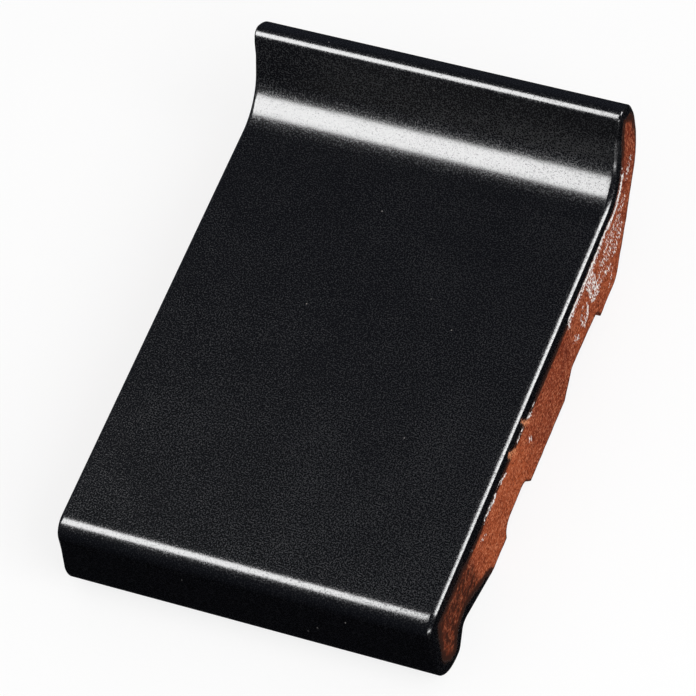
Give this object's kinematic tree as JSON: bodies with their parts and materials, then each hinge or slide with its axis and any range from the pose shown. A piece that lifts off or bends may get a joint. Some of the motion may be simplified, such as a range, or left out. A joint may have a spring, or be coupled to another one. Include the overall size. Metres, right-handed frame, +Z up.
{
  "type": "glazed sill tile",
  "caption": "Black-glazed red clay window sill tile: flat top, square nose, cove and low upstand at the back, and mortar grooves underneath.",
  "frame": {"origin": "middle of the bounding box, on the plane that the tile lies on", "axes": "+X along the sill, across the tile's width; +Y from the nose to the upstand; +Z up"},
  "size_m": [0.105, 0.16, 0.0513],
  "materials": {
    "glazed_clay": "gloss black glaze on top, nose and lip, over red fired clay that is bare on the side ends, the heel and the bed"
  },
  "bodies": {
    "root": {"sill_tile": "glazed_clay"}
  },
  "joints": []
}
